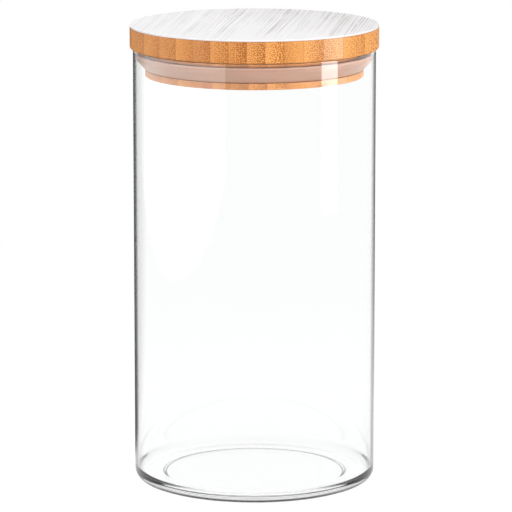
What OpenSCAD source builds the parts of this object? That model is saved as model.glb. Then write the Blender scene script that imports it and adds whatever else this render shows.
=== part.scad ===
// Lidded glass canister: a straight glass jar, a turned bamboo stopper lid edge-glued from
// upright strips, a pale wood veneer on the lid, and a silicone ring that seals it in the mouth.
// Millimetres. +Z up the jar's axis, the origin at the centre of its foot on the table.

/* [Jar] */
// Outside diameter of the glass
jar_d = 100; // [90:1:130]
// Height of the glass from the table to the rim
jar_h = 181; // [90:1:260]
// Thickness of the glass wall
wall_t = 1.2; // [1:0.1:2.6]
// Radius of the round on each edge of the rim
rim_round = 0.35; // [0.2:0.05:0.6]
// Thickness of the glass floor above its hollow underside
floor_t = 2.4; // [1.8:0.1:5]
// Outer radius of the round between wall and foot
foot_round = 4.5; // [3:0.1:8]
// Width of the flat ring that the jar stands on
foot_ring_w = 7; // [4:0.5:12]
// Height of the shallow hollow under the floor
hollow_h = 0.8; // [0.3:0.1:1.5]

/* [Lid board] */
// How far the lid's flange stands out past the glass
flange_over = 1.3; // [0.5:0.1:2.8]
// Thickness of the bamboo flange
flange_h = 9; // [5:0.1:14]
// Radius of the round on the flange's lower edge
flange_round = 0.9; // [0.3:0.1:2]
// Free gap between the stopper and the glass, bridged by the seal's lip
stopper_gap = 3.8; // [2.6:0.1:4.2]
// Height of the stopper's upper land, between the flange and the groove
upper_land_h = 2.2; // [1.5:0.1:5]
// Height of the groove that holds the seal
groove_h = 6.4; // [5:0.1:12]
// Depth of the groove that holds the seal
groove_depth = 2.5; // [2:0.1:3.2]
// Height of the stopper's lower land, below the groove
lower_land_h = 2.7; // [1.5:0.1:6]
// Radius of the round on the stopper's lower edge
stopper_round = 0.5; // [0.3:0.1:1.2]
// Number of bamboo strips side by side, an odd number that counts the offcut at each side
strip_count = 15; // [9:2:17]
// Mean width of the two offcuts at the flange's sides
offcut_w = 3.2; // [2:0.1:5]
// How far the board was shifted on the lathe, from its middle strip's centre to the lid's axis
board_shift = 0.8; // [0:0.1:1]

/* [Veneer] */
// Thickness of the pale veneer bonded to the top of the board
veneer_t = 0.7; // [0.4:0.1:1.5]
// Width of the sanded edge round the veneer's top face
veneer_edge = 0.2; // [0.1:0.05:0.3]

/* [Seal] */
// Thickness of the seal's band in the groove
band_t = 1.6; // [1.2:0.1:1.9]
// Thickness of the seal's flared lip
lip_t = 0.9; // [0.6:0.1:1.1]
// Height of the flare, from the seal's underside to where the lip comes to the glass
flare_h = 4.2; // [3:0.1:5]
// Height of the lip's upright edge, above the flare and along the glass
lip_edge_h = 2.2; // [1.6:0.1:3]
// Outer radius of the bend between the flare and the upright edge
lip_bend = 1.2; // [1.1:0.1:2.4]

/* [Clearances] */
// Gap between the jar's rim and the flange above it
rim_gap = 0.2; // [0.1:0.05:0.4]
// Gap between the seal and each wall of its groove
seal_gap = 0.3; // [0.2:0.05:0.4]
// Gap between the edge of the seal's lip and the glass
lip_gap = 0.15; // [0.1:0.05:0.4]

/* [Hidden] */
// Segments of a full circle
$fn = 128;
// Overshoot of a cutting shape past the face it cuts
overcut = 0.5;

// The jar
jar_r = jar_d / 2;
bore_r = jar_r - wall_t;
floor_z = hollow_h + floor_t;
bore_round = foot_round - wall_t;
foot_outer_r = jar_r - foot_round;
hollow_r = foot_outer_r - foot_ring_w;
// The hollow rises to its full height over this width
hollow_slope_w = 2.5 * hollow_h;

// The lid, from the flange downwards
flange_r = jar_r + flange_over;
flange_z = jar_h + rim_gap;
board_top_z = flange_z + flange_h;
stopper_r = bore_r - stopper_gap;
groove_r = stopper_r - groove_depth;
groove_top_z = flange_z - upper_land_h;
groove_floor_z = groove_top_z - groove_h;
stopper_z = groove_floor_z - lower_land_h;

// The strips each side of the middle one, and the width that the whole ones share
side_strips = (strip_count - 1) / 2;
strip_w = 2 * (flange_r - offcut_w) / (strip_count - 2);

// The seal
band_r = groove_r + seal_gap;
band_outer_r = band_r + band_t;
seal_z = groove_floor_z + seal_gap;
band_top_z = groove_top_z - seal_gap;
lip_r = bore_r - lip_gap;
lip_root = [stopper_r, seal_z];
// Where the outsides of the flare and of the upright edge would meet if the bend were sharp
lip_knee = [lip_r, seal_z + flare_h];
flare_angle = direction(lip_root, lip_knee);
bend_centre = lip_knee + lip_bend * [-1, tan((90 - flare_angle) / 2)];
tip_centre = lip_knee + [-lip_t / 2, lip_edge_h - lip_t / 2];
// Height on the band from which the inner side of the flare starts
lip_web_h = 2 * lip_t;

function strip_name(i) =
    let (number = i + side_strips + 1)
    str("lid_strip_", number < 10 ? "0" : "", number);

// Angle in degrees from one point to another
function direction(from, to) = atan2(to.y - from.y, to.x - from.x);

// Points along an arc
function arc(centre, radius, from, to, steps = 10) =
    [for (k = [0 : steps])
        let (a = from + (to - from) * k / steps)
        centre + radius * [cos(a), sin(a)]];

// What a round of the given radius takes off a corner; into points from the corner into the stock
module corner_waste(corner, radius, into) {
    translate(corner)
        mirror([into.x < 0 ? 1 : 0, 0])
        mirror([0, into.y < 0 ? 1 : 0])
        difference() {
            translate([-overcut, -overcut]) square(radius + overcut);
            translate([radius, radius]) circle(radius);
        }
}

// Half section of the space inside the jar
module bore_section() {
    difference() {
        translate([0, floor_z]) square([bore_r, jar_h - floor_z + overcut]);
        corner_waste([bore_r, floor_z], bore_round, [-1, 1]);
    }
}

// Half section of the hollow under the foot
module hollow_section() {
    polygon([
        [0, -overcut],
        [hollow_r, -overcut],
        [hollow_r, 0],
        [hollow_r - hollow_slope_w, hollow_h],
        [0, hollow_h]
    ]);
}

// Half section of the glass
module jar_section() {
    difference() {
        square([jar_r, jar_h]);
        bore_section();
        hollow_section();
        corner_waste([jar_r, 0], foot_round, [-1, 1]);
        corner_waste([jar_r, jar_h], rim_round, [-1, -1]);
        corner_waste([bore_r, jar_h], rim_round, [1, -1]);
    }
}

// Half section of the bamboo board with its flange, two lands and the groove between them
module board_section() {
    difference() {
        union() {
            translate([0, flange_z]) square([flange_r, flange_h]);
            translate([0, groove_top_z]) square([stopper_r, upper_land_h]);
            translate([0, groove_floor_z]) square([groove_r, groove_h]);
            translate([0, stopper_z]) square([stopper_r, lower_land_h]);
        }
        corner_waste([flange_r, flange_z], flange_round, [-1, 1]);
        corner_waste([stopper_r, stopper_z], stopper_round, [-1, 1]);
    }
}

// Half section of the seal: a plain band, and a lip that flares out to the glass and bends upright
// along it
module seal_section() {
    translate([band_r, seal_z]) square([band_t, band_top_z - seal_z]);
    polygon(concat(
        [[band_outer_r - band_t / 2, seal_z], lip_root],
        arc(bend_centre, lip_bend, flare_angle - 90, 0),
        arc(tip_centre, lip_t / 2, 0, 180),
        arc(bend_centre, lip_bend - lip_t, 0, flare_angle - 90),
        [[band_outer_r, seal_z + lip_web_h], [band_outer_r - band_t / 2, seal_z + lip_web_h]]
    ));
}

module glass_jar() {
    color([0.86, 0.9, 0.9, 0.4])
        rotate_extrude() jar_section();
}

module seal_ring() {
    color([0.76, 0.7, 0.66])
        rotate_extrude() seal_section();
}

module top_veneer() {
    color([0.9, 0.89, 0.87])
        translate([0, 0, board_top_z]) {
            cylinder(h = veneer_t - veneer_edge, r = flange_r);
            translate([0, 0, veneer_t - veneer_edge])
                cylinder(h = veneer_edge, r1 = flange_r, r2 = flange_r - veneer_edge);
        }
}

// One strip of the board, counted from the middle; it runs along Y, and the offcut at each side
// takes all that is left of the flange
module lid_strip(i) {
    left = i == -side_strips ? -flange_r - overcut : (i - 0.5) * strip_w - board_shift;
    right = i == side_strips ? flange_r + overcut : (i + 0.5) * strip_w - board_shift;
    tone = i % 2 == 0 ? 0.84 : 0.76;
    color([tone, tone * 0.72, tone * 0.46])
        intersection() {
            rotate_extrude() board_section();
            translate([left, -flange_r - overcut, stopper_z - overcut])
                cube([right - left, 2 * (flange_r + overcut), board_top_z - stopper_z + 2 * overcut]);
        }
}

glass_jar();
seal_ring();
top_veneer();
for (i = [-side_strips : side_strips])
    lid_strip(i);
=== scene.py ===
"""Lidded glass canister: a straight glass jar, a bamboo stopper lid with a white-washed wood top,
and a silicone seal. Metres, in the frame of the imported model."""

import math

import bmesh
import bpy
from mathutils import Matrix, Vector


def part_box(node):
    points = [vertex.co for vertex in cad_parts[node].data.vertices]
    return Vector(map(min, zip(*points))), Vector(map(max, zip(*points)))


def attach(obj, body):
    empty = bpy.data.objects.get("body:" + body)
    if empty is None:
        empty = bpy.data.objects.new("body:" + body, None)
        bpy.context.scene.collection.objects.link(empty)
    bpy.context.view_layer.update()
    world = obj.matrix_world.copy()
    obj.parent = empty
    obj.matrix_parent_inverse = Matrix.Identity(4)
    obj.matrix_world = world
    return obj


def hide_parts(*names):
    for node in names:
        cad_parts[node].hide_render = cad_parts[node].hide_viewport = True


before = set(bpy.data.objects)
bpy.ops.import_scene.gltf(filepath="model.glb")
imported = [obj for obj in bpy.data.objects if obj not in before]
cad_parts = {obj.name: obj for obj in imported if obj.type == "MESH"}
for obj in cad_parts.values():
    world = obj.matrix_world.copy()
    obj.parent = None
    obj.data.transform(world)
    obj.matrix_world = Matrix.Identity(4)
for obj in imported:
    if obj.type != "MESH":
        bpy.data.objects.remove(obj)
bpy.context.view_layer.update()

MM = 0.001

# --------------------------------------------------------------------------- sizes

# Read from the frame
JAR_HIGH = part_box("glass_jar")[1]
SEAL_LOW, SEAL_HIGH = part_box("seal_ring")
VENEER_LOW, VENEER_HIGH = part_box("top_veneer")
STRIPS = sorted(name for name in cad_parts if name.startswith("lid_strip_"))
MIDDLE_STRIP = len(STRIPS) // 2
MIDDLE_LOW, MIDDLE_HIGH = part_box(STRIPS[MIDDLE_STRIP])

JAR_R = JAR_HIGH.x
JAR_H = JAR_HIGH.z
FLANGE_R = VENEER_HIGH.x
BOARD_TOP = VENEER_LOW.z
LID_TOP = VENEER_HIGH.z
STOPPER_Z = MIDDLE_LOW.z
STRIP_W = MIDDLE_HIGH.x - MIDDLE_LOW.x
BOARD_SHIFT = (MIDDLE_LOW.x + MIDDLE_HIGH.x) / 2
SEAL_Z = SEAL_LOW.z
LIP_EDGE_R = SEAL_HIGH.x
LIP_EDGE_Z = SEAL_HIGH.z

# The glass
WALL_T = 1.2 * MM
FLOOR_T = 2.4 * MM
HOLLOW_H = 0.8 * MM
HOLLOW_SLOPE_W = 2.5 * HOLLOW_H
FOOT_ROUND = 4.5 * MM
FOOT_RING_W = 7 * MM
RIM_ROUND = 0.2 * MM
BORE_R = JAR_R - WALL_T
FLOOR_Z = HOLLOW_H + FLOOR_T
HOLLOW_R = JAR_R - FOOT_ROUND - FOOT_RING_W

# The board
RIM_GAP = 0.2 * MM
STOPPER_GAP = 3.8 * MM
UPPER_LAND_H = 2.2 * MM
GROOVE_H = 6.4 * MM
GROOVE_DEPTH = 2.5 * MM
FLANGE_Z = JAR_H + RIM_GAP
STOPPER_R = BORE_R - STOPPER_GAP
GROOVE_R = STOPPER_R - GROOVE_DEPTH
GROOVE_TOP = FLANGE_Z - UPPER_LAND_H
GROOVE_FLOOR = GROOVE_TOP - GROOVE_H
FLANGE_ROUND = 0.9 * MM
STOPPER_ROUND = 0.5 * MM
LAND_EDGE = 0.15 * MM
# The bevel on each strip's edges, and how sharp an edge is to get it
STRIP_EDGE = 0.05 * MM
STRIP_EDGE_ANGLE = math.radians(50)
# How far the stock of a strip stands past the board all round
STOCK_SPARE = 1 * MM

# The seal
SEAL_GAP = 0.3 * MM
BAND_R = GROOVE_R + SEAL_GAP
BAND_T = 1.6 * MM
BAND_TOP = GROOVE_TOP - SEAL_GAP
LIP_T = 0.9 * MM
FLARE_H = 4.2 * MM
LIP_BEND = 1.2 * MM
LIP_WEB_H = 2 * LIP_T
SEAL_EDGE = 0.25 * MM
LIP_ROOT_ROUND = 0.3 * MM
LIP_WEB_ROUND = 0.5 * MM

# The veneer
VENEER_TOP_EDGE = 0.22 * MM
VENEER_LOW_EDGE = 0.05 * MM

# Turned shapes: steps round the axis, and the radius under which a point is on it
SEGMENTS = 256
ON_AXIS = 1e-9
# Two points closer than this are one
SAME_POINT = 1e-7
# An edge is shaded sharp where its faces turn by more than this
SHARP_ANGLE = math.radians(35)
# The name under which a strip's mesh keeps its number, counted from the middle strip
STRIP_ATTRIBUTE = "strip"

# --------------------------------------------------------------------------- turned shapes


def rounded(corners, steps=6):
    """A closed section through corners (r, z, round), with an arc of radius round at each corner."""
    points = []
    for k, (r, z, radius) in enumerate(corners):
        here = Vector((r, z))
        if radius == 0:
            points.append((r, z))
            continue
        before = (Vector(corners[k - 1][:2]) - here).normalized()
        after = (Vector(corners[(k + 1) % len(corners)][:2]) - here).normalized()
        half = before.angle(after) / 2
        reach = radius / math.tan(half)
        centre = here + (before + after).normalized() * (radius / math.sin(half))
        start, end = here + before * reach - centre, here + after * reach - centre
        a, b = math.atan2(start.y, start.x), math.atan2(end.y, end.x)
        turn = (b - a + math.pi) % (2 * math.pi) - math.pi
        for s in range(steps + 1):
            t = a + turn * s / steps
            points.append((centre.x + radius * math.cos(t), centre.y + radius * math.sin(t)))
    return points


def without_doubles(points):
    """The same section without points that fall on the one before."""
    return [p for k, p in enumerate(points) if math.dist(p, points[k - 1]) > SAME_POINT]


def with_supports(points, longest=12 * MM, support=0.25 * MM):
    """Splits long stretches, and sets a point close to each of their ends to hold the shading."""
    out = []
    for k, p in enumerate(points):
        q = points[(k + 1) % len(points)]
        out.append(p)
        length = math.dist(p, q)
        along_axis = p[0] < ON_AXIS and q[0] < ON_AXIS
        if length < 6 * support or along_axis:
            continue
        pieces = math.ceil(length / longest)
        stops = [support / length] + [s / pieces for s in range(1, pieces)] + [1 - support / length]
        out += [(p[0] + (q[0] - p[0]) * t, p[1] + (q[1] - p[1]) * t) for t in stops]
    return out


def turned(name, section):
    """An object turned about the vertical axis from a closed section of (radius, height) points."""
    mesh = bpy.data.meshes.new(name)
    bm = bmesh.new()
    angles = [2 * math.pi * s / SEGMENTS for s in range(SEGMENTS)]
    rings = []
    for r, z in section:
        if r < ON_AXIS:
            rings.append([bm.verts.new((0, 0, z))])
        else:
            rings.append([bm.verts.new((r * math.cos(a), r * math.sin(a), z)) for a in angles])
    for k, ring in enumerate(rings):
        other = rings[(k + 1) % len(rings)]
        if len(ring) == 1 and len(other) == 1:
            continue
        for s in range(SEGMENTS):
            t = s + 1
            corners = [
                ring[s % len(ring)], ring[t % len(ring)],
                other[t % len(other)], other[s % len(other)]]
            bm.faces.new(list(dict.fromkeys(corners)))
    bmesh.ops.recalc_face_normals(bm, faces=bm.faces)
    for face in bm.faces:
        face.smooth = True
    bm.to_mesh(mesh)
    bm.free()
    return placed(name, mesh)


def placed(name, data):
    """An object of the scene that holds the given mesh, lamp or camera."""
    ob = bpy.data.objects.new(name, data)
    bpy.context.scene.collection.objects.link(ob)
    return ob


def paint(ob, finish):
    """Gives a piece its one material."""
    ob.data.materials.clear()
    ob.data.materials.append(finish)


def seat(ob, body, node):
    """Sets a finished piece on its body in place of the CAD node that it stands for."""
    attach(ob, body)
    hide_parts(node)


# --------------------------------------------------------------------------- node expressions


class Value:
    """A socket in an expression. Operators on it add Math nodes to its tree."""

    def __init__(self, tree, socket):
        self.tree, self.socket = tree, socket

    def _maths(self, operation, a, b=None):
        return self.tree.node("ShaderNodeMath", {"operation": operation}, {0: a, 1: b})

    def __add__(self, other):
        return self._maths("ADD", self, other)

    def __radd__(self, other):
        return self._maths("ADD", other, self)

    def __sub__(self, other):
        return self._maths("SUBTRACT", self, other)

    def __rsub__(self, other):
        return self._maths("SUBTRACT", other, self)

    def __mul__(self, other):
        return self._maths("MULTIPLY", self, other)

    def __rmul__(self, other):
        return self._maths("MULTIPLY", other, self)

    def __truediv__(self, other):
        return self._maths("DIVIDE", self, other)

    def __pow__(self, other):
        return self._maths("POWER", self, other)

    def __abs__(self):
        return self._maths("ABSOLUTE", self)

    def __gt__(self, other):
        return self._maths("GREATER_THAN", self, other)

    def max(self, other):
        return self._maths("MAXIMUM", self, other)

    def min(self, other):
        return self._maths("MINIMUM", self, other)

    def floor(self):
        return self._maths("FLOOR", self)

    def fraction(self):
        return self._maths("FRACT", self)


class Tree:
    """A node tree of a material, a lamp, the world or a geometry modifier, built from expressions."""

    def __init__(self, tree):
        self.tree = tree
        tree.nodes.clear()

    def feed(self, node, key, value):
        """Gives one input of a node a link or a plain value, or leaves it alone for None."""
        if isinstance(value, Value):
            self.tree.links.new(value.socket, node.inputs[key])
        elif value is not None:
            node.inputs[key].default_value = value

    def node(self, kind, settings=None, inputs=None, out=0):
        """Adds a node: its settings first, then the values or links of its sockets. Gives an output."""
        made = self.tree.nodes.new(kind)
        for key, value in (settings or {}).items():
            setattr(made, key, value)
        for key, value in (inputs or {}).items():
            self.feed(made, key, value)
        return Value(self, made.outputs[out])

    def end(self, kind, key, result):
        """Links the result to an output node."""
        self.feed(self.tree.nodes.new(kind), key, result)

    def place(self):
        """The three Object coordinates."""
        return self.split(self.node("ShaderNodeTexCoord", out="Object"))

    def split(self, vector):
        parts = self.node("ShaderNodeSeparateXYZ", inputs={0: vector}).socket.node
        return [Value(self, parts.outputs[k]) for k in range(3)]

    def join(self, x, y, z):
        return self.node("ShaderNodeCombineXYZ", inputs={0: x, 1: y, 2: z})

    def noise(self, x, y, z, detail=2.0, roughness=0.5):
        """Smooth noise from 0 to 1, with features about one unit wide."""
        return self.node("ShaderNodeTexNoise", inputs={
            "Vector": self.join(x, y, z), "Scale": 1.0, "Detail": detail, "Roughness": roughness})

    def chance(self, number):
        """A number from 0 to 1 that looks random and depends on the given number alone."""
        return self.node("ShaderNodeTexWhiteNoise", {"noise_dimensions": "1D"}, {"W": number})

    def step(self, value, start, end, low=0.0, high=1.0):
        """Goes smoothly from low to high as value goes from start to end."""
        return self.node("ShaderNodeMapRange", {"interpolation_type": "SMOOTHSTEP"}, {
            "Value": value, "From Min": start, "From Max": end, "To Min": low, "To Max": high})

    def mix(self, factor, a, b, blend="MIX"):
        """Mixes two colours, by the Mix node's own colour sockets."""
        return self.node(
            "ShaderNodeMix", {"data_type": "RGBA", "blend_type": blend, "clamp_factor": True},
            {0: factor, 6: a, 7: b}, out=2)

    def grey(self, value):
        """A grey colour from a value."""
        return self.node("ShaderNodeCombineColor", inputs={0: value, 1: value, 2: value})

    def bump(self, height, distance, strength):
        """A normal for a surface that is raised by distance where height is 1."""
        return self.node("ShaderNodeBump", inputs={
            "Height": height, "Distance": distance, "Strength": strength})

    def surface(self, **sockets):
        """A Principled shader; the keywords are its sockets, with _ for a space."""
        return self.node("ShaderNodeBsdfPrincipled", inputs={
            key.replace("_", " "): value for key, value in sockets.items()})

    def ray(self, kind):
        """1 for rays of one kind, 0 for the rest."""
        return self.node("ShaderNodeLightPath", out="Is " + kind + " Ray")


def rgb(red, green, blue):
    return (red, green, blue, 1.0)


def from_axis(x, y):
    """Distance from the vertical axis."""
    return (x * x + y * y) ** 0.5


def material(name):
    """A new material and its node tree."""
    made = bpy.data.materials.new(name)
    made.use_nodes = True
    return made, Tree(made.node_tree)


# --------------------------------------------------------------------------- glass

GLASS_TINT = rgb(0.985, 0.992, 0.99)
# What the light keeps at each face on its way into the canister's shadow
GLASS_SHADOW = rgb(0.985, 0.99, 0.99)
# How far the wall must turn from the eye for the painted shade on its edge to start, and to be full
EDGE_START, EDGE_FULL = 0.735, 0.83
# Share of the glass's clearness that the painted shade at its edge takes, in place of dark reflections
EDGE_PAINTED_SHADE = 0.76


def clear_glass():
    """Clear borosilicate glass. Painted shade deepens its tint where the outer wall is seen edge on, in
    place of dark reflections.
    """
    made, s = material("clear_glass")
    x, y, z = s.place()
    facing = s.node("ShaderNodeLayerWeight", inputs={"Blend": 0.5}, out="Facing")
    outer = s.step(from_axis(x, y), BORE_R + 0.3 * WALL_T, JAR_R - 0.3 * WALL_T)
    below_rim = s.step(z, JAR_H - 0.5 * WALL_T, JAR_H - 0.9 * WALL_T)
    above_foot = s.step(z, 0.2 * FOOT_ROUND, 0.8 * FOOT_ROUND)
    # Painted shade: the outer wall darkens where it is seen edge on, in place of dark reflections
    painted_edge_shade = s.step(facing, EDGE_START, EDGE_FULL) * outer * below_rim * above_foot
    clear = 1 - painted_edge_shade * EDGE_PAINTED_SHADE
    colour = s.mix(1.0, s.grey(clear * clear), GLASS_TINT, blend="MULTIPLY")
    glass = s.surface(Base_Color=colour, Roughness=0.0, IOR=1.47, Transmission_Weight=1.0)
    shadow = s.node("ShaderNodeBsdfTransparent", inputs={"Color": GLASS_SHADOW})
    s.end("ShaderNodeOutputMaterial", "Surface", s.node(
        "ShaderNodeMixShader", inputs={0: s.ray("Shadow"), 1: glass, 2: shadow}))
    return made


# --------------------------------------------------------------------------- silicone

MILKY_DARK = rgb(0.435, 0.247, 0.17)
MILKY_PALE = rgb(0.495, 0.296, 0.212)
# A painted highlight on the lip's edge, and painted shade at the seal's root
LIP_EDGE_PAINTED_HIGHLIGHT = rgb(0.86, 0.60, 0.46)
ROOT_PAINTED_SHADE = rgb(0.46, 0.21, 0.11)


def silicone():
    """Milky translucent silicone, with a painted highlight along the lip's thin edge, and painted shade,
    darker and warmer, at its root on the wood.
    """
    made, s = material("silicone")
    x, y, z = s.place()
    cloud = s.noise(x * 60, y * 60, z * 160, detail=3)
    colour = s.mix(cloud, MILKY_DARK, MILKY_PALE)
    # Painted highlight: the lip's thin top edge is painted paler
    thin = s.step(z, LIP_EDGE_Z - 0.95 * MM, LIP_EDGE_Z - 0.55 * MM)
    colour = s.mix(thin * 0.25, colour, LIP_EDGE_PAINTED_HIGHLIGHT)
    # Painted shade: darker and warmer at the root, where the seal meets the wood
    root_painted_shade = s.step(z, SEAL_Z + 1.3 * MM, SEAL_Z + 0.2 * MM)
    colour = s.mix(root_painted_shade * 0.6, colour, ROOT_PAINTED_SHADE)
    grain = s.noise(x * 4000, y * 4000, z * 4000, detail=1)
    s.end("ShaderNodeOutputMaterial", "Surface", s.surface(
        Base_Color=colour, Roughness=s.step(grain, 0.3, 0.7, 0.42, 0.52), IOR=1.41,
        Subsurface_Weight=0.9, Subsurface_Radius=(1.0, 0.75, 0.6), Subsurface_Scale=2.0 * MM,
        Normal=s.bump(grain, 0.01 * MM, 0.4)))
    return made


# --------------------------------------------------------------------------- bamboo

HONEY_PALE = rgb(0.94, 0.455, 0.16)
HONEY_DARK = rgb(0.52, 0.20, 0.068)
HONEY_PEACH = rgb(0.96, 0.51, 0.25)
STRAW_TINT = rgb(1.0, 0.90, 0.45)
BAND_GOLD = rgb(0.94, 0.46, 0.14)
# Painted light on the stopper under the flange
UNDER_FLANGE_PAINTED_LIGHT = rgb(1.0, 0.44, 0.115)
FIBRE_TINT = rgb(0.54, 0.37, 0.20)
FIBRE_BROWN = rgb(0.30, 0.08, 0.014)
CULM_JOINT = rgb(0.42, 0.19, 0.065)
CULM_JOINT_LINE = rgb(0.2, 0.08, 0.025)
GLUE_BROWN = rgb(0.34, 0.115, 0.03)

# Fibre bundles and single fibres in a metre across the strip
BUNDLES_PER_M = 1300
FIBRES_PER_M = 2600
# How much further out a bundle's dot reaches at a strip's skin side than at its inner side
SKIN_SWELL = 0.24
# Strips are counted from the middle one. Their mean tone, with painted shade on the left and painted
# light on the right, the strips between which it changes, and the full width over which their own tones
# spread round it
PAINTED_SHADE_TONE_LEFT, PAINTED_LIGHT_TONE_RIGHT = 0.66, 0.22
PAINTED_SHADE_FROM_STRIP, PAINTED_SHADE_TO_STRIP = -1.0, 2.5
TONE_SPREAD = 0.36
# The strength of the stipple's dots on the left, as a share of that on the right, and the strips
# between which it changes
STIPPLE_LEFT = 0.65
STIPPLE_FROM, STIPPLE_TO = -2.0, 1.0
# The strips between which the bamboo turns more golden
STRAW_FROM, STRAW_TO = 3.0, 7.0
# The one strip that is peach
PEACH_STRIP = 5
# The chance over which a strip is laid with its skin side to the right
SKIN_RIGHT_CHANCE = 0.1
# The middle stretch of a strip that can hold a culm joint, and the chance over which it holds one
CULM_JOINT_SPAN = 150 * MM
CULM_JOINT_CHANCE = 0.35

# What is added to a strip's number to pick each of its own chances
SALT_SKIN_SIDE = 0.11
SALT_SHIFT = 0.17
SALT_STIPPLE = 0.37
SALT_CULM_JOINT_PLACE = 0.53
SALT_TONE = 0.61
SALT_CULM_JOINT = 0.71
SALT_STRAW = 0.83


def bamboo():
    """Sanded and oiled bamboo: fibre bundles along Y, a tone and a culm joint of each strip's own, with
    painted shade on the left strips, painted light on the right ones and painted light under the flange.
    """
    made, s = material("bamboo")
    x, y, z = s.place()
    strip = s.node("ShaderNodeAttribute", {"attribute_name": STRIP_ATTRIBUTE}, out="Fac")
    across = (x - BOARD_SHIFT) / STRIP_W - strip
    skin_side = s.chance(strip + SALT_SKIN_SIDE) > SKIN_RIGHT_CHANCE
    skinward = 0.5 + across * (skin_side * 2 - 1)
    shift = s.chance(strip + SALT_SHIFT) * 9

    bundles = s.node("ShaderNodeTexVoronoi", {"feature": "F1", "voronoi_dimensions": "2D"}, {
        "Vector": s.join(
            x * BUNDLES_PER_M + y * 9 + shift, z * BUNDLES_PER_M + shift * 7, 0.0),
        "Scale": 1.0, "Randomness": 0.7}, out="Distance")
    stipple = (0.5 + 0.5 * s.chance(strip + SALT_STIPPLE)) * s.step(
        strip, STIPPLE_FROM, STIPPLE_TO, STIPPLE_LEFT, 1.0)
    dots = s.step(bundles + (0.5 - skinward) * SKIN_SWELL, 0.42, 0.24) * stipple
    fibres = s.noise(
        x * FIBRES_PER_M + shift, y * 45, z * FIBRES_PER_M, detail=3, roughness=0.6)
    bands = s.noise(x * 420 + shift * 5, y * 9 + shift, z * 160, detail=3)

    joint_at = (s.chance(strip + SALT_CULM_JOINT_PLACE) - 0.5) * CULM_JOINT_SPAN
    joint_far = abs(y - joint_at + (fibres - 0.5) * (2 * MM))
    has_joint = s.chance(strip + SALT_CULM_JOINT) > CULM_JOINT_CHANCE
    joint = s.step(joint_far, 2.6 * MM, 0.3 * MM) * has_joint
    joint_line = s.step(joint_far, 0.5 * MM, 0.1 * MM) * has_joint
    glue = s.step(abs(across), 0.475, 0.499)

    # Painted shade and light: the mean tone runs darker on the left strips and paler on the right; the
    # chance adds each strip's own tone
    tone_and_painted_shade = s.step(strip, PAINTED_SHADE_FROM_STRIP, PAINTED_SHADE_TO_STRIP, PAINTED_SHADE_TONE_LEFT, PAINTED_LIGHT_TONE_RIGHT) + (
        s.chance(strip + SALT_TONE) - 0.5) * TONE_SPREAD
    honey = s.mix(tone_and_painted_shade, HONEY_PALE, HONEY_DARK)
    # The strips turn more golden towards the right end
    straw = s.chance(strip + SALT_STRAW) * 0.45 + s.step(strip, STRAW_FROM, STRAW_TO, 0.05, 0.30)
    honey = s.mix(straw, honey, STRAW_TINT, blend="MULTIPLY")
    peach = s.step(abs(strip - PEACH_STRIP), 0.6, 0.4)
    honey = s.mix(peach, honey, HONEY_PEACH)
    flesh = s.mix(s.step(bands, 0.3, 0.7, 0.0, 0.25), honey, BAND_GOLD)
    # Painted light: the stopper inside the flange's side is painted a brighter orange up under the
    # flange, where the flange shades it
    inside = s.step(from_axis(x, y), FLANGE_R - 0.6 * MM, STOPPER_R + 0.4 * MM)
    under_flange_painted_light = inside * s.step(z, GROOVE_FLOOR, GROOVE_TOP)
    flesh = s.mix(under_flange_painted_light * 0.95, flesh, UNDER_FLANGE_PAINTED_LIGHT)
    brown = s.mix(1.0, honey, FIBRE_TINT, blend="MULTIPLY")
    brown = s.mix(0.5, brown, FIBRE_BROWN)
    colour = s.mix(dots * (1 - 0.6 * under_flange_painted_light), flesh, brown)
    colour = s.mix(s.step(fibres, 0.42, 0.75, 0.0, 0.3), colour, brown)
    colour = s.mix(s.step(skinward, 0.1, 0.95, 0.0, 0.16), colour, brown)
    colour = s.mix((inside - under_flange_painted_light) * 0.2, colour, brown)
    colour = s.mix(joint * 0.45, colour, CULM_JOINT)
    colour = s.mix(joint_line * 0.5, colour, CULM_JOINT_LINE)
    under_veneer = s.step(z, BOARD_TOP - 0.32 * MM, BOARD_TOP - 0.1 * MM)
    colour = s.mix(glue.max(under_veneer) * 0.6, colour, GLUE_BROWN)
    height = fibres * 0.4 - dots * 0.5 - glue
    s.end("ShaderNodeOutputMaterial", "Surface", s.surface(
        Base_Color=colour, Roughness=s.step(fibres, 0.3, 0.7, 0.42, 0.55), IOR=1.5,
        Specular_IOR_Level=0.18, Coat_Weight=0.03, Coat_Roughness=0.3,
        Normal=s.bump(height, 0.03 * MM, 0.6)))
    return made


# --------------------------------------------------------------------------- washed wood

WASH = rgb(0.96, 0.945, 0.955)
WASH_DULL = rgb(0.84, 0.825, 0.835)
WASH_BRIGHT = rgb(0.98, 0.975, 0.98)
WASH_MOTTLE = rgb(0.86, 0.85, 0.855)
WASH_WORN = rgb(0.68, 0.66, 0.665)
STREAK_BROWN = rgb(0.54, 0.475, 0.43)
PORE_GREY = rgb(0.38, 0.36, 0.36)
# Painted shade on the veneer's side face
VENEER_SIDE_PAINTED_SHADE = rgb(0.62, 0.60, 0.60)

# Hearts of the grain: the point's x and y, how far it takes to close, and its half width
HEARTS = (
    (-13.0 * MM, 32.0 * MM, 15.0 * MM, 1.7 * MM),
    (9.5 * MM, 36.0 * MM, 14.0 * MM, 1.4 * MM),
)
# Brown streaks: middle, half width, where each starts and ends along the grain, and its depth
STREAKS = (
    (35.0 * MM, 1.3 * MM, -40 * MM, 34 * MM, 0.85),
    (27.0 * MM, 0.6 * MM, -20 * MM, 42 * MM, 0.4),
    (-19.5 * MM, 0.35 * MM, -40 * MM, 40 * MM, 0.35),
    (5.5 * MM, 0.4 * MM, -48 * MM, 30 * MM, 0.35),
)
# A streak fades in and out over this length
STREAK_END = 12 * MM


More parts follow.
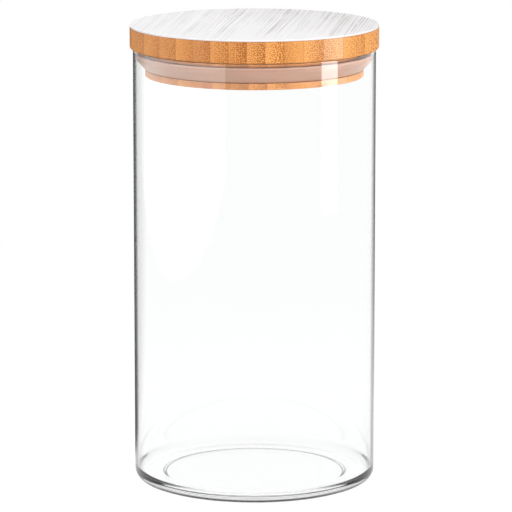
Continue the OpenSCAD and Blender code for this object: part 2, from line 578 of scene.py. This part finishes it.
def washed_wood():
    """White-washed wood veneer: long fine grain along Y that closes to points at a few hearts."""
    made, s = material("washed_wood")
    x, y, z = s.place()
    sway = (s.noise(x * 9, y * 5, 0.0) - 0.5) * (2 * MM)
    across = x + sway
    hearts = 0.0
    for heart_x, heart_y, reach, spread in HEARTS:
        beside = across - heart_x
        below = s.step(y, heart_y, heart_y - reach, 0.0, spread)
        side = (beside > 0) * 2 - 1
        apart = (beside * beside + below * below) ** 0.5
        across = heart_x + side * apart
        hearts = hearts + s.step(apart, 0.9 * MM, 0.3 * MM) * s.step(y, heart_y - reach, heart_y)

    def lines(pitch, width, dash, salt):
        """Fine lines along the grain: pitch apart on the whole, each of its own strength and dashes."""
        bend = s.noise(across / (6 * pitch) + salt, y / (300 * MM), salt, detail=1)
        phase = across / pitch + bend * 1.7
        number = phase.floor()
        own = s.chance(number + salt)
        off = abs(phase.fraction() - 0.5) * pitch
        along = s.noise(number * 3.7 + salt, y / dash, salt)
        return s.step(off, width, 0.35 * width) * own * s.step(along + own * 0.12, 0.34, 0.60)

    def patches(wide, length, start, end, salt):
        """Stretches of the board, longer along the grain than across it."""
        return s.step(s.noise(across / wide + salt, y / length, salt), start, end)

    grouped = patches(wide=9 * MM, length=40 * MM, start=0.36, end=0.62, salt=12.6)
    bold = lines(pitch=2.9 * MM, width=0.22 * MM, dash=40 * MM, salt=8.7) * (0.4 + 0.4 * grouped)
    thin = lines(pitch=1.25 * MM, width=0.18 * MM, dash=24 * MM, salt=21.4) * (0.4 + 0.5 * grouped)
    fine = lines(pitch=0.8 * MM, width=0.13 * MM, dash=14 * MM, salt=3.1) * (0.4 + 0.6 * grouped)
    pale = lines(pitch=1.4 * MM, width=0.26 * MM, dash=60 * MM, salt=33.9)
    broad = patches(wide=4 * MM, length=90 * MM, start=0.45, end=0.75, salt=2.2)
    mottle = s.noise(x * 1400, y * 120, 0.0)
    stain = 0.0
    for middle, half, low, high, depth in STREAKS:
        wander = (s.noise(middle, y * 18, 4.4) - 0.5) * (4 * MM)
        band = s.step(abs(across - middle + wander), half, 0.2 * half)
        ends = s.step(y, low, low + STREAK_END) * s.step(y, high, high - STREAK_END)
        stain = stain + band * ends * depth
    # The wash is worn thin towards the back right, and fills most of the pores at the front
    worn = s.step(x * 0.62 + y * 0.78, -12 * MM, 58 * MM)
    unfilled = s.step(y, -48 * MM, -14 * MM, 0.3, 1.0)
    pores = (bold + thin + fine * 0.8).min(1.0).max(hearts.min(1.0) * 0.4)
    pores = pores * unfilled * (0.68 + 0.6 * worn)

    white = s.mix(broad * 0.35, WASH, WASH_DULL)
    white = s.mix(pale * 0.5, white, WASH_BRIGHT)
    white = s.mix(s.step(mottle, 0.3, 0.7, 0.0, 0.2), white, WASH_MOTTLE)
    white = s.mix(worn * 0.42, white, WASH_WORN)
    colour = s.mix(stain.min(1.0) * (0.6 + 0.4 * pores), white, STREAK_BROWN)
    colour = s.mix(pores, colour, PORE_GREY)
    # Painted shade: the veneer's side face, under its top, is painted darker
    side = s.step(z, LID_TOP - 0.14 * MM, LID_TOP - 0.28 * MM)
    colour = s.mix(side * 0.7, colour, VENEER_SIDE_PAINTED_SHADE)
    s.end("ShaderNodeOutputMaterial", "Surface", s.surface(
        Base_Color=colour, Roughness=s.step(pores, 0.0, 1.0, 0.5, 0.75), IOR=1.45,
        Normal=s.bump(1 - pores, 0.04 * MM, 0.5)))
    return made


# --------------------------------------------------------------------------- pieces


def glass_jar():
    """The jar: one closed wall from the hollow foot round the fire-polished rim to the floor."""
    slope_steps = 10
    dish = [(0, HOLLOW_H)]
    for k in range(slope_steps + 1):
        t = k / slope_steps
        dish.append((
            HOLLOW_R - HOLLOW_SLOPE_W * (1 - t), HOLLOW_H * (0.5 + 0.5 * math.cos(math.pi * t))))
    wall = rounded([
        (HOLLOW_R, 0, 0),
        (JAR_R, 0, FOOT_ROUND),
        (JAR_R, JAR_H, RIM_ROUND),
        (BORE_R, JAR_H, RIM_ROUND),
        (BORE_R, FLOOR_Z, FOOT_ROUND - WALL_T),
        (0, FLOOR_Z, 0),
        (0, HOLLOW_H, 0),
    ], steps=10)
    # Each of the two ends on the point where the other starts
    ob = turned("jar_glass", with_supports(without_doubles(dish[:-1] + wall[:-1])))
    paint(ob, clear_glass())
    seat(ob, "jar", "glass_jar")


def seal_ring():
    """The seal: a band in the groove, and a lip that flares to the glass and bends upright on it."""
    flare = math.atan2(FLARE_H, LIP_EDGE_R - STOPPER_R)
    inner_knee_z = SEAL_Z + FLARE_H + LIP_T * math.tan((math.pi / 2 - flare) / 2)
    # A little under half of the lip, so that the two rounds of its tip don't meet
    tip_round = 0.499 * LIP_T
    ob = turned("seal_silicone", with_supports(without_doubles(rounded([
        (STOPPER_R, SEAL_Z, LIP_ROOT_ROUND),
        (LIP_EDGE_R, SEAL_Z + FLARE_H, LIP_BEND),
        (LIP_EDGE_R, LIP_EDGE_Z, tip_round),
        (LIP_EDGE_R - LIP_T, LIP_EDGE_Z, tip_round),
        (LIP_EDGE_R - LIP_T, inner_knee_z, LIP_BEND - LIP_T),
        (BAND_R + BAND_T, SEAL_Z + LIP_WEB_H, LIP_WEB_ROUND),
        (BAND_R + BAND_T, BAND_TOP, SEAL_EDGE),
        (BAND_R, BAND_TOP, SEAL_EDGE),
        (BAND_R, SEAL_Z, SEAL_EDGE),
    ]))))
    paint(ob, silicone())
    seat(ob, "seal", "seal_ring")


def veneer():
    """The veneer: a thin flat disc with its top edge sanded round."""
    ob = turned("lid_veneer", with_supports(without_doubles(rounded([
        (0, BOARD_TOP, 0),
        (FLANGE_R, BOARD_TOP, VENEER_LOW_EDGE),
        (FLANGE_R, LID_TOP, VENEER_TOP_EDGE),
        (0, LID_TOP, 0),
    ], steps=4))))
    paint(ob, washed_wood())
    seat(ob, "lid", "top_veneer")


def strip_tree():
    """Geometry nodes that cut one strip out of the turned board, shade it and give it its number."""
    group = bpy.data.node_groups.new("board_strip", "GeometryNodeTree")
    for name, kind in (
            ("Board", "Geometry"), ("Left", "Float"), ("Right", "Float"), ("Low", "Float"),
            ("High", "Float"), ("Reach", "Float"), ("Strip", "Float"), ("Finish", "Material")):
        group.interface.new_socket(name, in_out="INPUT", socket_type="NodeSocket" + kind)
    group.interface.new_socket("Strip", in_out="OUTPUT", socket_type="NodeSocketGeometry")
    g = Tree(group)

    def given(name):
        """One of the tree's named inputs."""
        return g.node("NodeGroupInput", out=name)

    left, right, low, high = given("Left"), given("Right"), given("Low"), given("High")
    size = g.join(right - left, given("Reach") * 2, high - low)
    centre = g.join((left + right) * 0.5, 0.0, (low + high) * 0.5)
    cube = g.node("GeometryNodeMeshCube", inputs={"Size": size}, out="Mesh")
    stock = g.node("GeometryNodeTransform", inputs={"Geometry": cube, "Translation": centre})
    cut = g.node(
        "GeometryNodeMeshBoolean", {"operation": "INTERSECT", "solver": "EXACT"},
        {"Mesh 2": given("Board")}, out="Mesh")
    g.feed(cut.socket.node, "Mesh 2", stock)
    smooth = g.node("GeometryNodeSetShadeSmooth", {"domain": "FACE"}, {0: cut, "Shade Smooth": True})
    angle = g.node("GeometryNodeInputMeshEdgeAngle", out="Unsigned Angle")
    shaded = g.node("GeometryNodeSetShadeSmooth", {"domain": "EDGE"}, {
        0: smooth, "Selection": angle > SHARP_ANGLE, "Shade Smooth": False})
    numbered = g.node(
        "GeometryNodeStoreNamedAttribute", {"data_type": "FLOAT", "domain": "POINT"},
        {"Geometry": shaded, "Name": STRIP_ATTRIBUTE, "Value": given("Strip")})
    real = g.node("GeometryNodeRealizeInstances", inputs={0: numbered})
    finished = g.node(
        "GeometryNodeSetMaterial", inputs={"Geometry": real, "Material": given("Finish")})
    g.end("NodeGroupOutput", "Strip", finished)
    return group


def grown(ob, group, **values):
    """The plain mesh that a geometry node tree makes of an object."""
    modifier = ob.modifiers.new("grow", "NODES")
    modifier.node_group = group
    sockets = {i.name: i.identifier for i in group.interface.items_tree if i.in_out == "INPUT"}
    for name, value in values.items():
        modifier[sockets[name]] = value
    evaluated = ob.evaluated_get(bpy.context.evaluated_depsgraph_get())
    mesh = bpy.data.meshes.new_from_object(evaluated)
    ob.modifiers.remove(modifier)
    return mesh


def bamboo_strips():
    """The strips of the board, each cut from the whole turned board, with its edges eased."""
    board = turned("board", without_doubles(rounded([
        (0, STOPPER_Z, 0),
        (STOPPER_R, STOPPER_Z, STOPPER_ROUND),
        (STOPPER_R, GROOVE_FLOOR, LAND_EDGE),
        (GROOVE_R, GROOVE_FLOOR, 0),
        (GROOVE_R, GROOVE_TOP, 0),
        (STOPPER_R, GROOVE_TOP, LAND_EDGE),
        (STOPPER_R, FLANGE_Z, 0),
        (FLANGE_R, FLANGE_Z, FLANGE_ROUND),
        (FLANGE_R, BOARD_TOP, 0),
        (0, BOARD_TOP, 0),
    ])))
    group = strip_tree()
    finish = bamboo()
    reach = FLANGE_R + STOCK_SPARE
    for number, node in enumerate(STRIPS):
        place = number - MIDDLE_STRIP
        left = BOARD_SHIFT + (place - 0.5) * STRIP_W
        right = BOARD_SHIFT + (place + 0.5) * STRIP_W
        if number == 0:
            left = -reach
        if number == len(STRIPS) - 1:
            right = reach
        mesh = grown(
            board, group, Left=left, Right=right, Low=STOPPER_Z - STOCK_SPARE,
            High=BOARD_TOP + STOCK_SPARE, Reach=reach, Strip=float(place), Finish=finish)
        ob = placed(node.replace("lid_", "board_"), mesh)
        ease = ob.modifiers.new("eased_edges", "BEVEL")
        ease.width = STRIP_EDGE
        ease.segments = 2
        ease.limit_method = "ANGLE"
        ease.angle_limit = STRIP_EDGE_ANGLE
        ease.harden_normals = True
        seat(ob, "lid", node)
    bpy.data.objects.remove(board)


# --------------------------------------------------------------------------- stage

# The camera's turn round the jar, from -Y towards +X
CAMERA_TURN = math.radians(6.75)
# Its distance from the foot's centre, and its angle above the table, seen from there
CAMERA_FAR = 1.6186
CAMERA_ELEVATION = math.radians(14.043)
# Its tilt down from level, and its step to the right
CAMERA_TILT = math.radians(10.78)
CAMERA_ASIDE = 0.66 * MM
# Focal length and width of the sensor, in millimetres
LENS = 270.4
SENSOR_W = 36

# Fill lamps, for matt surfaces alone: name, degrees round from the camera to its right, radiance
FILLS = (
    ("front_fill", 22, 4.2),
    ("left_fill", -52, 5.6),
    ("right_fill", 66, 6.6),
)

# Level of the world's light on matt surfaces, low down and overhead, and the sines of the angles
# above the horizon between which it rises
TENT_LOW, TENT_OVERHEAD = 0.05, 2.4
TENT_START, TENT_FULL = 0.6, 0.95

FLOOR_R = 6.0
# The floor lies this far under the foot, so that the two faces don't coincide
FLOOR_DROP = 0.03 * MM
FLOOR_SEGMENTS = 96
FLOOR_WHITE = 0.97
# How much darker the table is to diffuse rays, so that it throws less light up at the canister
FLOOR_BOUNCE_LOSS = 0.55
# The table is lit by the lamps near the canister and fades to plain white from here to here
FADE_START, FADE_END = 0.12, 0.55
# The share of plain white in it near the canister
PLAIN_SHARE = 0.70
# The dark cloth behind the canister lies this far round from straight back, to the left
CLOTH_TURN = math.radians(16)
# Cosines of the angles from its middle at which the cloth starts and is full, and its brightness
CLOTH_START, CLOTH_FULL = 0.68, 0.88
CLOTH_LEVEL = 0.06


def make_camera():
    """A long lens that looks a little down on the canister, with no shift."""
    data = bpy.data.cameras.new("camera")
    data.lens = LENS
    data.sensor_width = SENSOR_W
    data.clip_start, data.clip_end = 0.05, 30
    camera = placed("camera", data)
    tilt = Matrix.Rotation(math.pi / 2 - CAMERA_TILT, 4, "X")
    turn = Matrix.Rotation(CAMERA_TURN, 4, "Z")
    level = CAMERA_FAR * math.cos(CAMERA_ELEVATION)
    height = CAMERA_FAR * math.sin(CAMERA_ELEVATION)
    camera.matrix_world = turn @ Matrix.Translation((CAMERA_ASIDE, -level, height)) @ tilt
    bpy.context.scene.camera = camera


def make_softbox(name, turn, far, low, high, width, radiance, diffuse=True, glossy=True, fade=()):
    """A soft upright lamp, turned from the camera's side, facing the jar. Each step of its fade is
    (side, start, end, least): over its width (side 0) or height (side 1) the glow goes from full at
    the share start to least at the share end."""
    data = bpy.data.lights.new(name, "AREA")
    data.shape = "RECTANGLE"
    data.size, data.size_y = width, high - low
    data.energy = radiance * math.pi * width * (high - low)
    if fade:
        data.use_nodes = True
        s = Tree(data.node_tree)
        over = s.split(s.node("ShaderNodeNewGeometry", out="Parametric"))
        glow = 1.0
        for side, start, end, least in fade:
            glow = glow * s.step(over[side], start, end, 1.0, least)
        s.end("ShaderNodeOutputLight", "Surface", s.node(
            "ShaderNodeEmission", inputs={"Color": s.grey(glow)}))
    ob = placed(name, data)
    a = CAMERA_TURN + math.radians(turn)
    place = Vector((math.sin(a) * far, -math.cos(a) * far, (low + high) / 2))
    aim = Vector((0, 0, place.z))
    facing = (aim - place).to_track_quat("-Z", "Y").to_matrix().to_4x4()
    ob.matrix_world = Matrix.Translation(place) @ facing
    ob.visible_camera = False
    ob.visible_transmission = False
    ob.visible_diffuse = diffuse
    ob.visible_glossy = glossy


def make_lamps():
    """Two lamps for the gloss, a narrow one on the right and a broad one on the left, and fills."""
    make_softbox(
        "strip_softbox", turn=73.2, far=0.70, low=0.0, high=0.45, width=0.23, radiance=10.5,
        diffuse=False, fade=((1, 0.04, 0.0, 0.35),))
    make_softbox(
        "broad_softbox", turn=-80, far=0.50, low=-0.02, high=0.24, width=1.35, radiance=2.4,
        diffuse=False, fade=((0, 0.45, 0.0, 0.12),))
    for name, turn, radiance in FILLS:
        make_softbox(
            name, turn, far=0.90, low=0.03, high=0.27, width=0.90, radiance=radiance, glossy=False)


def background_rays(s):
    """1 for the rays that should meet a white background: the camera's, and those of gloss and glass."""
    return s.ray("Camera").max(s.ray("Transmission")).max(s.ray("Glossy"))


def make_world():
    """A plain white tent that lights matt surfaces mostly from overhead."""
    world = bpy.data.worlds.new("studio")
    world.use_nodes = True
    bpy.context.scene.world = world
    s = Tree(world.node_tree)
    up = s.split(s.node("ShaderNodeTexCoord", out="Generated"))[2]
    white = background_rays(s)
    level = white + (1 - white) * s.step(
        up, TENT_START, TENT_FULL, TENT_LOW, TENT_OVERHEAD)
    s.end("ShaderNodeOutputWorld", "Surface", s.node(
        "ShaderNodeBackground", inputs={"Color": s.grey(level)}))


def floor_material():
    """A white table that keeps a soft shadow near the canister and fades to plain white.
    Gloss sees a dark cloth on it behind the canister, which draws the edges of the glass."""
    made, s = material("pale_floor")
    x, y, z = s.place()
    out = from_axis(x, y)
    turn = CAMERA_TURN + CLOTH_TURN
    straight = (y * math.cos(turn) - x * math.sin(turn)) / out.max(1 * MM)
    cloth = s.step(straight, CLOTH_START, CLOTH_FULL, 1.0, CLOTH_LEVEL)
    mirrored = s.ray("Glossy") * (1 - s.ray("Transmission"))
    level = 1 - mirrored * (1 - cloth)
    plain = s.step(out, FADE_START, FADE_END, PLAIN_SHARE, 1.0).max(mirrored)
    matt = s.node("ShaderNodeBsdfDiffuse", inputs={
        "Color": s.grey(FLOOR_WHITE - FLOOR_BOUNCE_LOSS * s.ray("Diffuse"))})
    white = s.node("ShaderNodeEmission", inputs={"Color": s.grey(level)})
    top = s.node("ShaderNodeMixShader", inputs={0: background_rays(s) * plain, 1: matt, 2: white})
    clear = s.node("ShaderNodeBsdfTransparent")
    below = s.node("ShaderNodeNewGeometry", out="Backfacing")
    s.end("ShaderNodeOutputMaterial", "Surface", s.node(
        "ShaderNodeMixShader", inputs={0: below, 1: top, 2: clear}))
    return made


def make_floor():
    """A plain round table top just under the foot."""
    mesh = bpy.data.meshes.new("floor")
    bm = bmesh.new()
    bmesh.ops.create_circle(
        bm, cap_ends=True, segments=FLOOR_SEGMENTS, radius=FLOOR_R,
        matrix=Matrix.Translation((0, 0, -FLOOR_DROP)))
    bm.to_mesh(mesh)
    bm.free()
    ob = placed("floor", mesh)
    paint(ob, floor_material())


bpy.context.scene.view_settings.view_transform = "Standard"
make_camera()
make_lamps()
make_world()
make_floor()
glass_jar()
seal_ring()
bamboo_strips()
veneer()
